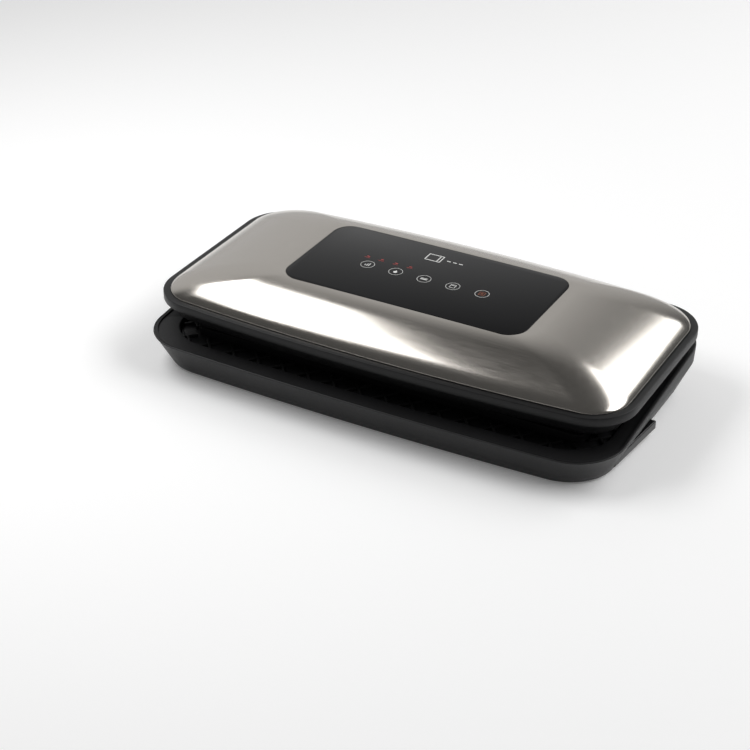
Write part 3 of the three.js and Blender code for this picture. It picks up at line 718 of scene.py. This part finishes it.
# Silicone strip with a rounded nose that presses the bag on the bar
def pressureStrip():
    piece = block("pressureStrip", stripLow, stripHigh)
    edit(piece)
    pick(piece, "EDGE", lambda edge, place: place.z < stripLow.z + 0.01 and abs(place.x) < 1)
    bpy.ops.mesh.bevel(offset=2.4 * mm, segments=5, affect="EDGES")
    pick(piece, "FACE", lambda face, place: face.normal.z < -0.99)
    bpy.ops.mesh.inset(thickness=1 * mm, depth=-0.35 * mm)
    settle(piece)
    return dress(piece, "silicone", "lid", "silicone_rubber", "pressure_strip")


def lidCatches():
    low, high = span("lid_catch_right")
    size = {"x": 169.5, "thick": 3, "hook": 2.5, "front": -17.8, "back": -7.8, "flange": 2.2}
    inner = size["x"] - size["thick"] / 2
    top = high.z
    stem = block("stem", (inner, size["front"], low.z), (inner + size["thick"], size["back"], top), 0.35)
    weld(stem, block("flange", (low.x, low.y, top - size["flange"]), (high.x, high.y, top), 0.4))
    start = (inner - size["hook"], size["front"] + 0.02, low.z + 0.01)
    weld(stem, block("hook", start, (size["x"], size["back"] - 0.02, low.z + 1.7), 0.3))
    settle(stem)
    left = copyOf(stem, "lidCatchLeft", flip=True)
    stem.name = "lidCatchRight"
    dress(stem, "gloss", "lid", "gloss_black_abs", "lid_catch_right")
    dress(settle(left), "gloss", "lid", "gloss_black_abs", "lid_catch_left")


lidLining()
liningScrews()
upperGasket()
pressureStrip()
lidCatches()
print("lining, gasket, strip and catches")

# Base

shellHigh = span("base_shell")[1]
baseShape = {"halfLength": shellHigh.x, "halfDepth": 105.2, "radius": 38.6, "bow": 3.4}
rim = {"front": 26.3, "back": 38.5, "low": -48, "high": 90, "width": 3, "bottom": 1.5, "lean": 10.5}
tray = {"lip": 24, "lipX": 14, "lipY": 17, "floor": 19, "step": 1.5}
deck = {"top": 33, "front": 14, "back": 81.5, "half": 157}
platformTop = 25.5
channel = {"half": 146, "front": -35.5, "back": -4.5, "floor": 12}
wall = 2.4
screwPlaces = [(-140, -78), (140, -78), (-162, 76), (162, 76)]
footPlaces = [(-150, -70), (150, -70), (-150, 62), (150, 62)]
leverPivot = (177.6, -54)


def leanAt(height):
    return rim["lean"] * (rim["front"] - height) / (rim["front"] - rim["bottom"])


def baseBody():
    bottom, front = rim["bottom"], rim["front"]
    even = [(leanAt(bottom) + 1.4, bottom), (leanAt(bottom) + 0.5, bottom + 0.25), (leanAt(2.7), 2.7)]
    even += [(leanAt(8), 8), (leanAt(16), 16), (leanAt(24.6), 24.6)]
    even += [(0.05, front - 0.8), (0.2, front - 0.25)]
    even += [(0.7, front), (1.05, front), (1.15, front - 0.3), (1.45, front - 0.3), (1.55, front)]
    even += [(2.4, front), (2.85, front - 0.2)]
    even += [(rim["width"], front - 0.6), (rim["width"] + 0.15, front - 1.4)]
    steps = [(inset, inset, height) for inset, height in even]
    lip, x, y, floor = tray["lip"], tray["lipX"], tray["lipY"], tray["floor"]
    inner = [(0, lip), (0.6, lip - 0.25), (1, lip - 0.8)]
    inner += [(1.5, floor + 0.8), (1.9, floor + 0.2), (2.6, floor)]
    steps += [(x + inward, y + inward, height) for inward, height in inner]
    piece = startOutline("baseShell", baseShape, True, arcSteps=16)
    raiseOutline(piece, baseShape, steps)
    # The rim climbs to the back, and is level again behind the hinge line
    slope = math.atan((rim["back"] - front) / (rim["high"] - rim["low"]))

    for start, height, turn in ((rim["low"], front, slope), (rim["high"], rim["back"], -slope)):
        pick(piece, "VERT", lambda vert, place: place.z > front - 1.6 and place.y > start)
        centre = Vector((0, start, height)) * mm
        bpy.ops.transform.rotate(value=-turn, orient_axis="X", center_override=centre)
    return settle(piece)


def sealPlatform():
    size = {"half": 160, "front": -64.8, "back": 12, "bottom": 18}
    bottom, side = size["bottom"], deck["half"]
    start = (-size["half"], size["front"], bottom)
    low = plate("platform", start, (size["half"], size["back"], platformTop), 8, softTop=1.2)
    neck = plate("neck", (-side, 2, bottom), (side, 22, platformTop), 3)
    start = (-side, deck["front"], bottom)
    upper = plate("deck", start, (side, deck["back"], deck["top"]), 8, softTop=1.4)
    weld(low, neck)
    return weld(low, upper)


# Crossed ribs that keep the bag off the floor of the tray
def trayRibs():
    size = {"arm": 21, "width": 1.8, "height": 2.4, "turn": 0.87, "sideTurn": 0.75, "short": 0.8}
    row = {"pitch": 21.5, "y": -76, "cornerX": 161, "cornerY": -73.5, "sideX": 167.6}
    floor = tray["floor"]

    def cross(name, reach, turn):
        arms = []
        for side in (-1, 1):
            half = size["arm"] * reach / 2
            low = (-half, -size["width"] / 2, floor - 0.4)
            high = (half, size["width"] / 2, floor + size["height"])
            arm = plate("arm", low, high, 0.85, softTop=0.5, arcSteps=3)
            edit(arm)
            bpy.ops.mesh.select_all(action="SELECT")
            bpy.ops.transform.rotate(value=side * turn, orient_axis="Z", center_override=(0, 0, 0))
            arms.append(settle(arm))
        arms[0].name = name
        return weld(*arms)

    long = cross("longCross", 1, size["turn"])
    short = cross("shortCross", size["short"], size["sideTurn"])
    ribs = []
    for side in (-1, 1):
        for i in range(7):
            ribs.append(copyOf(long, "rib", (side * (i + 0.5) * row["pitch"], row["y"], 0)))
        ribs.append(copyOf(short, "rib", (side * row["cornerX"], row["cornerY"], 0)))
    for y in (-53, -33, 22, 43):
        for side in (-1, 1):
            ribs.append(copyOf(short, "rib", (side * row["sideX"], y, 0)))
    for source in (long, short):
        bpy.data.objects.remove(source)
    return joinUp("ribs", ribs)


def hingeEars():
    ears = []
    for side in (-1, 1):
        for end in (-1, 1):
            near = hinge["length"] / 2 + 0.4
            start = side * hinge["x"] + (near if end > 0 else -near - hinge["ear"])
            stop = start + hinge["ear"]
            y, z, radius = hinge["y"], hinge["z"], hinge["barrel"]
            post = block("ear", (start, y - radius, 24), (stop, y + radius, z))
            weld(post, bar("round", "x", radius, start, stop, (y, z), 48))
            softenEdges(post, 0.4, 2, 60)
            ears.append(cut(post, bar("hole", "x", hinge["pin"] + 0.15, start - 1, stop + 1, (y, z), 32)))
    return joinUp("ears", ears)


def baseShell():
    piece = baseBody()
    print("base body")
    weld(piece, sealPlatform())
    weld(piece, block("shelf", (-176, 66, 15), (176, 88, tray["lip"] - 0.02)))
    weld(piece, trayRibs())
    print("platform and ribs")
    # The hollow underneath, in steps under the tray, the bar and the pump
    under = [(leanAt(0.5) + wall, 0.5), (leanAt(9.6) + wall, 9.6)]
    cut(piece, solidFrom("hollow", baseShape, [(i, i, z) for i, z in under], arcSteps=8))
    cut(piece, plate("frontBay", (-168, -90, 8), (168, -38, 14.6), 22))
    for side in (-1, 1):
        near, far = sorted((side * 148.4, side * 181))
        cut(piece, block("sideBay", (near, -62, 8), (far, 62, 16.6)))
    cut(piece, plate("pumpBay", (-154.6, 16.4, 8), (154.6, 79.1, 30.6), 6))
    # Seats in the top
    low = (-channel["half"], channel["front"], channel["floor"])
    high = (channel["half"], channel["back"], 50)
    cut(piece, plate("channel", low, high, 6, softBottom=1))
    cut(piece, block("barSlot", (-152, -56, 17), (152, -46, 50)))
    grooveLow, grooveHigh = span("lower_gasket")
    grooveLow.z, grooveHigh.z = 23, 40
    cut(piece, gasketRing("groove", grooveLow, grooveHigh, 0.2, 7.6, 0.3))
    cut(piece, bar("nozzleHole", "z", 3.3, 8, 13, (34, -14)))
    cut(piece, bar("plungerHole", "z", 2.5, 28, 34, (100, 28)))
    print("seats")
    cut(piece, plate("notch", (-165, 84, 31.5), (165, 125, 60), 3, softBottom=0.8))
    weld(piece, hingeEars())
    # For each end: the catch's slot, the lever's window and the boss that its pin stands in
    window = {"front": -60.4, "back": 1.8, "bottom": 4.3, "top": 11.8}
    for side in (-1, 1):
        near, far = sorted((side * 164, side * 172.5))
        cut(piece, plate("catchSlot", (near, -21.8, 12), (far, -6.8, 40), 0.8))
        near, far = sorted((side * 170, side * 200))
        low, high = (near, window["front"], window["bottom"]), (far, window["back"], window["top"])
        cut(piece, block("leverWindow", low, high))
        pivot = (side * leverPivot[0], leverPivot[1])
        boss = bar("boss", "z", 4, window["top"], 17.6, pivot)
        weld(piece, cut(boss, bar("pinHole", "z", 1.65, 10, 16.3, pivot)))
    cut(piece, plate("inletWindow", (-132.3, 78.1, 7.2), (-107.7, 110, 19.8), 0.8))
    for place in screwPlaces:
        post = bar("post", "z", 3.6, 4.6, 17, place)
        weld(piece, cut(post, bar("postBore", "z", 1.7, 4, 14, place, 24)))
    settle(piece, 34)
    return dress(piece, "base", "base", "black_abs", "base_shell")


baseShell()
print("base shell")


def bottomCover():
    low, high = span("bottom_cover")
    inset = wall + 0.6
    steps = [(leanAt(low.z) + inset, low.z), (leanAt(high.z) + inset, high.z)]
    piece = solidFrom("bottomCover", baseShape, [(i, i, z) for i, z in steps], arcSteps=10)
    for place in footPlaces:
        cut(piece, bar("footSeat", "z", 7.3, 0, 3.4, place, 40))
    for place in screwPlaces:
        cut(piece, bar("screwSeat", "z", 3.4, 0, 3.2, place))
        cut(piece, bar("screwHole", "z", 1.8, 0, 6, place))
    vent = {"x": 40, "pitch": 8, "width": 4, "front": 30, "back": 66}
    for i in range(6):
        x = vent["x"] + vent["pitch"] * i
        cut(piece, plate("vent", (x, vent["front"], 0), (x + vent["width"], vent["back"], 6), 1.9))
    settle(piece)
    return dress(piece, "base", "base", "black_abs", "bottom_cover")


def feet():
    for node in ("foot_front_left", "foot_front_right", "foot_back_left", "foot_back_right"):
        low, high = span(node)
        radius = (high.x - low.x) / 2
        centre = ((low.x + high.x) / 2, (low.y + high.y) / 2)
        name = "rubber" + "".join(word.title() for word in node.split("_"))
        foot = bar(name, "z", radius, low.z, high.z, centre, 40, 0.6)
        edit(foot)
        pick(foot, "FACE", lambda face, place: face.normal.z < -0.99)
        bpy.ops.mesh.inset(thickness=1.6 * mm)
        bpy.ops.mesh.inset(thickness=0.4 * mm, depth=-0.4 * mm)
        settle(foot)
        dress(foot, "foot", "base", "foot_rubber", node)


def baseScrews():
    for i in range(1, 5):
        low, high = span(f"base_screw_{i}")
        centre = ((low.x + high.x) / 2, (low.y + high.y) / 2)
        x, y = centre
        screw = bar(f"baseScrew{i}", "z", 3, low.z, low.z + 1, centre, 32, 0.25)
        weld(screw, bar("shank", "z", 1.5, low.z + 0.5, high.z, centre, 24, 0.3))
        cross = block("cross", (x - 2, y - 0.4, 1), (x + 2, y + 0.4, low.z + 0.55))
        weld(cross, block("cross", (x - 0.4, y - 2, 1), (x + 0.4, y + 2, low.z + 0.55)))
        settle(cut(screw, cross))
        dress(screw, "zinc", "base", "zinc_plated_steel", f"base_screw_{i}")


def sealBar():
    low, high = span("seal_bar")
    tapeLow, tapeHigh = span("ptfe_tape")
    stripBoxLow, stripBoxHigh = span("heating_strip")
    piece = block("sealBar", low, high, 0.3)
    bedLow = (low.x - 1, stripBoxLow.y - 0.3, stripBoxLow.z - 0.3)
    cut(piece, block("bed", bedLow, (high.x + 1, stripBoxHigh.y + 0.3, high.z + 1)))
    settle(piece)
    dress(piece, "base", "base", "black_abs", "seal_bar")
    tape = block("sealTape", tapeLow, tapeHigh)
    edit(tape)
    pick(tape, "EDGE", lambda edge, place: abs(place.x) < 1 and place.z > tapeHigh.z - 0.01)
    bpy.ops.mesh.bevel(offset=0.12 * mm, segments=2, affect="EDGES")
    settle(tape)
    dress(tape, "tape", "base", "ptfe_tape", "ptfe_tape")


def lowerGasket():
    low, high = span("lower_gasket")
    piece = gasketRing("lowerGasket", low, high, 1, 7)
    dress(piece, "foam", "base", "gasket_foam", "lower_gasket")


def suctionNozzle():
    low, high = span("suction_nozzle")
    x, y = (low.x + high.x) / 2, (low.y + high.y) / 2
    piece = bar("suctionNozzle", "z", 3, low.z, high.z, (x, y), 40, 0.4)
    weld(piece, bar("collar", "z", 5, 12.3, 13.6, (x, y), 40, 0.3))
    cut(piece, bar("bore", "z", 1.4, low.z + 2, high.z + 1, (x, y), 24))
    settle(piece)
    return dress(piece, "frame", "base", "black_abs", "suction_nozzle")


def switchPlunger():
    low, high = span("switch_plunger")
    x, y = (low.x + high.x) / 2, (low.y + high.y) / 2
    piece = bar("switchPlunger", "z", 2.2, 28.6, high.z, (x, y), 32, 0.6)
    weld(piece, bar("flange", "z", 3.4, low.z, low.z + 1.4, (x, y), 32, 0.2))
    settle(piece)
    return dress(piece, "nylon", "plunger", "white_nylon", "switch_plunger")


def powerInlet():
    low, high = span("power_inlet")
    piece = block("powerInlet", low, high)
    softenEdges(piece, 0.6, 3)
    well = plate("well", (low.x + 2.6, low.z + 1.8, -1), (high.x - 2.6, high.z - 1.8, 13), 4, arcSteps=6)
    edit(well)
    bpy.ops.mesh.select_all(action="SELECT")
    bpy.ops.transform.rotate(value=-quarterTurn, orient_axis="X", center_override=(0, 0, 0))
    places = [vert.co.copy() / mm for vert in bmesh.from_edit_mesh(well.data).verts]
    middle = Vector([(min(p[i] for p in places) + max(p[i] for p in places)) / 2 for i in range(3)])
    target = Vector(((low.x + high.x) / 2, high.y - 6, (low.z + high.z) / 2))
    bpy.ops.transform.translate(value=(target - middle) * mm)
    cut(piece, settle(well))
    for side in ("left", "right"):
        pinLow, pinHigh = span(f"inlet_pin_{side}")
        centre = ((pinLow.x + pinHigh.x) / 2, (pinLow.z + pinHigh.z) / 2)
        radius = (pinHigh.x - pinLow.x) / 2
        cut(piece, bar("pinSeat", "y", radius + 0.3, low.y - 1, high.y - 9, centre, 24))
        name = f"inletPin{side.title()}"
        pin = bar(name, "y", radius, pinLow.y, pinHigh.y, centre, 24, 0.45)
        dress(pin, "bright", "base", "bright_metal", f"inlet_pin_{side}")
    settle(piece)
    return dress(piece, "frame", "base", "black_abs", "power_inlet")


def hingePins():
    for side in ("left", "right"):
        low, high = span(f"hinge_pin_{side}")
        centre = ((low.y + high.y) / 2, (low.z + high.z) / 2)
        pin = bar(f"hingePin{side.title()}", "x", hinge["pin"], low.x, high.x, centre, 32, 0.35)
        dress(pin, "zinc", "base", "zinc_plated_steel", f"hinge_pin_{side}")


# Glossy wedge that follows the base's wall, with an arm and a hook inside
def releaseLevers():
    low, high = span("release_lever_right")
    size = {"inner": 174, "front": -59.8, "back": 1.2, "outerFront": 182.6, "outerBack": 188.8}
    bottom, top = low.z, high.z
    handle = block("handle", (size["inner"], size["front"], bottom), (size["outerBack"], size["back"], top))
    edit(handle)
    pick(handle, "VERT", lambda vert, place: place.x > 185 and place.y < -30)
    bpy.ops.transform.translate(value=((size["outerFront"] - size["outerBack"]) * mm, 0, 0))
    pick(handle, "EDGE", lambda edge, place: place.x > 180 or place.y > 0 or place.y < -59)
    bpy.ops.mesh.bevel(offset=1 * mm, segments=4, affect="EDGES")
    settle(handle)
    arm = block("arm", (low.x, -5.8, bottom + 0.01), (size["inner"] + 1, -0.8, top - 0.01), 0.4)
    weld(arm, block("hook", (low.x, -16.8, bottom + 3.4), (165.2, -4.8, top - 0.02), 0.3))
    weld(handle, arm)
    cut(handle, bar("bore", "z", 1.56, bottom - 1, top + 1, leverPivot, 28))
    settle(handle)
    handle.name = "releaseLeverRight"
    left = settle(copyOf(handle, "releaseLeverLeft", flip=True))
    dress(handle, "gloss", "lever_right", "gloss_black_abs", "release_lever_right")
    dress(left, "gloss", "lever_left", "gloss_black_abs", "release_lever_left")


bottomCover()
feet()
baseScrews()
sealBar()
lowerGasket()
suctionNozzle()
switchPlunger()
powerInlet()
hingePins()
releaseLevers()
print("base fittings")

# The working parts inside keep their frame shapes and take a finish

for node, finish in {
    "pump_motor": "zinc",
    "pump_head": "frame",
    "pump_bracket": "zinc",
    "pump_rotor": "brass",
    "suction_hose": "silicone",
    "power_board": "board",
    "transformer": "winding",
    "lid_switch": "frame",
    "panel_carrier": "base",
    "control_board": "board",
    "heating_strip": "bright",
    "lever_pin_left": "zinc",
    "lever_pin_right": "zinc",
}.items():
    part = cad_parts[node]
    part.data.materials.clear()
    part.data.materials.append(finishes[finish])

# Floor, light and camera


def directionOf(azimuth, elevation):
    turn, rise = math.radians(azimuth), math.radians(elevation)
    return Vector((math.sin(turn) * math.cos(rise), math.cos(turn) * math.cos(rise), math.sin(rise)))


# A dim room with a paler wall to the back left; it looks pale where it is seen directly
def studioWorld():
    world = bpy.data.worlds.new("studio")
    world.use_nodes = True
    tree = world.node_tree
    room = {"dark": 0.1, "wall": 0.62, "wallAt": (-45, 10), "edge": (0.6, 0.93), "seen": 0.95}
    way = addNode(tree, "ShaderNodeTexCoord")
    facing = addNode(
        tree,
        "ShaderNodeVectorMath",
        {"operation": "DOT_PRODUCT"},
        {0: way.outputs["Generated"]},
    )
    facing.inputs[1].default_value = directionOf(*room["wallAt"])
    lit = addNode(
        tree,
        "ShaderNodeMapRange",
        {
            "interpolation_type": "SMOOTHSTEP",
            "From Min": room["edge"][0],
            "From Max": room["edge"][1],
            "To Min": room["dark"],
            "To Max": room["wall"],
        },
        {"Value": facing.outputs["Value"]},
    )
    path = addNode(tree, "ShaderNodeLightPath")
    strength = addNode(
        tree,
        "ShaderNodeMapRange",
        {"To Max": room["seen"]},
        {"Value": path.outputs["Is Camera Ray"], "To Min": lit.outputs["Result"]},
    )
    sky = tree.nodes["Background"]
    sky.inputs["Color"].default_value = (1, 1, 1, 1)
    tree.links.new(strength.outputs["Result"], sky.inputs["Strength"])
    bpy.context.scene.world = world


def floorAndLight():
    bpy.ops.object.select_all(action="DESELECT")
    bpy.ops.mesh.primitive_plane_add(size=12)
    ground = bpy.context.object
    ground.name = "floor"
    settings = {"Base Color": linearColour("FAFAFA"), "Roughness": 0.9}
    settings |= {"Emission Color": (1, 1, 1, 1), "Emission Strength": 0.12}
    ground.data.materials.append(startMaterial("paleFloor", settings)[0])
    studioWorld()
    # Each softbox: azimuth from the back towards the right, elevation, distance, width, height and power
    lamps = {
        "leftSoftbox": (-104, 55, 0.95, 0.7, 0.4, 4.2),
        "rightSoftbox": (52, 44, 2.3, 3.0, 1.1, 43),
    }
    for name, (azimuth, elevation, distance, width, height, power) in lamps.items():
        light = bpy.data.lights.new(name, "AREA")
        light.shape = "RECTANGLE"
        light.size, light.size_y = width, height
        light.energy = power
        lamp = bpy.data.objects.new(name, light)
        lamp.location = directionOf(azimuth, elevation) * distance
        lamp.rotation_mode = "QUATERNION"
        lamp.rotation_quaternion = (-lamp.location).to_track_quat("-Z", "Y")
        bpy.context.scene.collection.objects.link(lamp)
    bpy.context.scene.view_settings.view_transform = "Standard"


def camera():
    size = {"place": (0.5426, -1.0482, 0.7075), "aim": (-0.0244, -0.0270, 0.0015)}
    size |= {"lens": 87.29, "sensor": 36}
    lens = bpy.data.cameras.new("camera")
    lens.lens = size["lens"]
    lens.sensor_width = size["sensor"]
    eye = bpy.data.objects.new("camera", lens)
    eye.location = size["place"]
    eye.rotation_mode = "QUATERNION"
    eye.rotation_quaternion = (Vector(size["aim"]) - eye.location).to_track_quat("-Z", "Y")
    bpy.context.scene.collection.objects.link(eye)
    bpy.context.scene.camera = eye


floorAndLight()
camera()
print("floor, light and camera")
